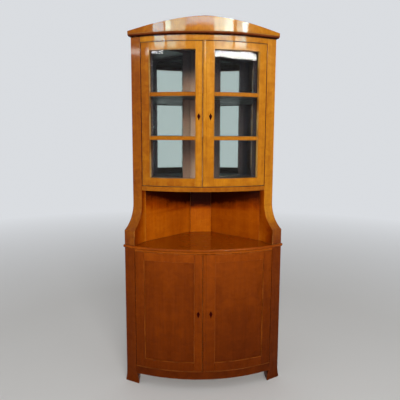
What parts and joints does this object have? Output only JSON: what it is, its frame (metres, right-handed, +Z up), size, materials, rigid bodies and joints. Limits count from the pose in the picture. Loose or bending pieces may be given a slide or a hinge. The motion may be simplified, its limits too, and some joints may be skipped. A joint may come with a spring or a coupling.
{
  "type": "corner curio cabinet",
  "caption": "Bow-front corner display cabinet in two cases, with panelled doors below, an open niche, and glazed doors under a low arched pediment.",
  "frame": {"origin": "middle of the cabinet's width and depth, on the floor", "axes": "+Z up; +Y to the back, into the room's corner; +X to the right as seen from the front"},
  "size_m": [0.896, 0.503, 2.01],
  "materials": {
    "amber_veneer": "high-gloss shellac over amber figured veneer",
    "red_veneer": "high-gloss shellac over red-brown figured veneer",
    "plain_wood": "plain oiled softwood, worn",
    "ebonised": "ebonised and polished",
    "steel": "old bright steel, dulled",
    "brass": "aged brass",
    "door_glass": "clear bowed glass",
    "mirror": "clear silvered mirror"
  },
  "bodies": {
    "case": {"lower_left_post": "red_veneer", "lower_right_post": "red_veneer", "lower_left_back_panel": "plain_wood", "lower_right_back_panel": "plain_wood", "lower_back_strip": "plain_wood", "lower_left_pivot_pin": "steel", "lower_right_pivot_pin": "steel", "lower_bottom_board": "plain_wood", "lower_shelf": "plain_wood", "plinth_rail": "red_veneer", "lower_head_rail": "red_veneer", "counter": "red_veneer", "upper_left_cheek": "amber_veneer", "upper_right_cheek": "amber_veneer", "upper_left_back_panel": "red_veneer", "upper_right_back_panel": "red_veneer", "upper_left_pivot_pin": "steel", "upper_right_pivot_pin": "steel", "upper_back_strip": "amber_veneer", "upper_floor": "amber_veneer", "glazed_case_lower_shelf": "plain_wood", "glazed_case_upper_shelf": "plain_wood", "upper_top_board": "plain_wood", "frieze_rail": "amber_veneer", "cornice": "amber_veneer", "pediment": "amber_veneer", "left_mirror": "mirror", "right_mirror": "mirror"},
    "lower_left_door": {"lower_left_door_hinge_stile": "red_veneer", "lower_left_door_meeting_stile": "red_veneer", "lower_left_door_top_rail": "red_veneer", "lower_left_door_bottom_rail": "red_veneer", "lower_left_door_panel": "red_veneer", "lower_left_door_escutcheon": "ebonised"},
    "lower_right_door": {"lower_right_door_hinge_stile": "red_veneer", "lower_right_door_meeting_stile": "red_veneer", "lower_right_door_top_rail": "red_veneer", "lower_right_door_bottom_rail": "red_veneer", "lower_right_door_panel": "red_veneer", "lower_right_door_escutcheon": "ebonised"},
    "upper_left_door": {"upper_left_door_hinge_stile": "amber_veneer", "upper_left_door_meeting_stile": "amber_veneer", "upper_left_door_top_rail": "amber_veneer", "upper_left_door_bottom_rail": "amber_veneer", "upper_left_door_lower_bar": "amber_veneer", "upper_left_door_upper_bar": "amber_veneer", "upper_left_door_glass": "door_glass", "upper_left_door_escutcheon": "ebonised"},
    "upper_right_door": {"upper_right_door_hinge_stile": "amber_veneer", "upper_right_door_meeting_stile": "amber_veneer", "upper_right_door_top_rail": "amber_veneer", "upper_right_door_bottom_rail": "amber_veneer", "upper_right_door_lower_bar": "amber_veneer", "upper_right_door_upper_bar": "amber_veneer", "upper_right_door_glass": "door_glass", "upper_right_door_escutcheon": "ebonised"},
    "lower_lock_bolt": {"lower_right_door_lock_bolt": "steel"},
    "upper_lock_bolt": {"upper_right_door_lock_bolt": "steel"},
    "lower_edge_bolt": {"lower_left_door_edge_bolt": "brass"},
    "upper_edge_bolt": {"upper_left_door_edge_bolt": "brass"}
  },
  "joints": [
    {"name": "lower_left_door_hinge", "type": "hinge", "parent": "case", "child": "lower_left_door", "pos_m": [-0.36586, -0.14707, 0.108], "axis": [0, 0, -1], "range_deg": [0, 95]},
    {"name": "lower_right_door_hinge", "type": "hinge", "parent": "case", "child": "lower_right_door", "pos_m": [0.36586, -0.14707, 0.108], "axis": [0, 0, 1], "range_deg": [0, 95]},
    {"name": "upper_left_door_hinge", "type": "hinge", "parent": "case", "child": "upper_left_door", "pos_m": [-0.32608, -0.07748, 1.128], "axis": [0, 0, -1], "range_deg": [0, 95]},
    {"name": "upper_right_door_hinge", "type": "hinge", "parent": "case", "child": "upper_right_door", "pos_m": [0.32608, -0.07748, 1.128], "axis": [0, 0, 1], "range_deg": [0, 95]},
    {"name": "lower_lock_bolt_slide", "type": "slide", "parent": "lower_right_door", "child": "lower_lock_bolt", "axis": [-1, -0.003, 0], "range_m": [0, 0.009]},
    {"name": "upper_lock_bolt_slide", "type": "slide", "parent": "upper_right_door", "child": "upper_lock_bolt", "axis": [-1, -0.0033, 0], "range_m": [0, 0.009]},
    {"name": "lower_edge_bolt_slide", "type": "slide", "parent": "lower_left_door", "child": "lower_edge_bolt", "axis": [0, 0, 1], "range_m": [0, 0.008]},
    {"name": "upper_edge_bolt_slide", "type": "slide", "parent": "upper_left_door", "child": "upper_edge_bolt", "axis": [0, 0, 1], "range_m": [0, 0.008]}
  ]
}
